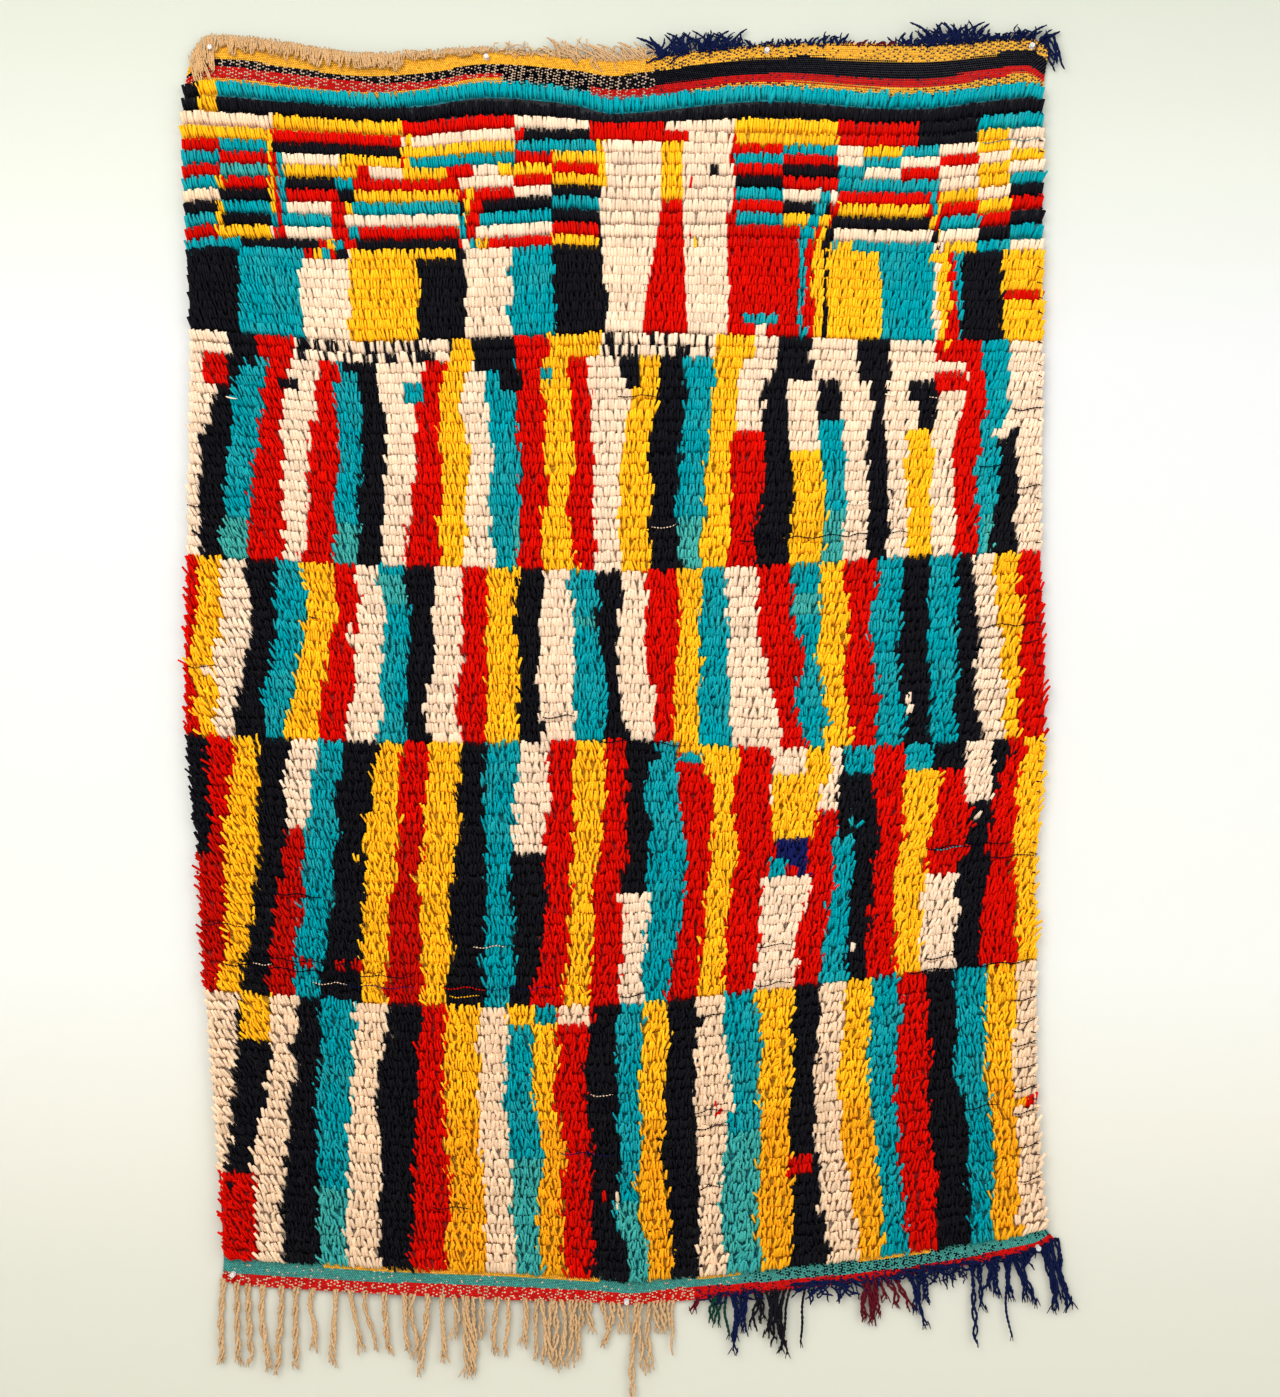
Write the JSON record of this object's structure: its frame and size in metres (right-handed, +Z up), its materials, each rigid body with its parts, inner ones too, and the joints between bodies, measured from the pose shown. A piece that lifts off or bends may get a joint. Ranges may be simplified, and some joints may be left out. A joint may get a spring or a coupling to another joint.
{
  "type": "azilal rug hanging by push pins",
  "caption": "Knotted wool pile rug of bold stripes and small blocks, with fringed flat-woven ends, hanging flat by push pins.",
  "frame": {"origin": "middle of the rug's top edge, in the plane of its back, level with the top push pins", "axes": "+Z up along the rug's length, +X to the viewer's right, the pile faces -Y and the back faces +Y"},
  "size_m": [1.4489, 0.0207, 2.2491],
  "materials": {
    "pile_wool": "knotted wool pile in natural, yellow, red, teal, black and navy stripes and blocks",
    "natural_wool": "undyed twisted wool yarn",
    "navy_wool": "navy and black twisted wool yarn",
    "clear_plastic": "glossy clear plastic head on a steel needle"
  },
  "bodies": {
    "root": {"rug_body": "pile_wool", "fringe_top_folded": "natural_wool", "fringe_top_natural": "natural_wool", "fringe_top_dark": "navy_wool", "fringe_bottom_natural": "natural_wool", "fringe_bottom_dark": "navy_wool", "push_pin_1": "clear_plastic", "push_pin_2": "clear_plastic", "push_pin_3": "clear_plastic", "push_pin_4": "clear_plastic", "push_pin_5": "clear_plastic", "push_pin_6": "clear_plastic", "push_pin_7": "clear_plastic"}
  },
  "joints": []
}
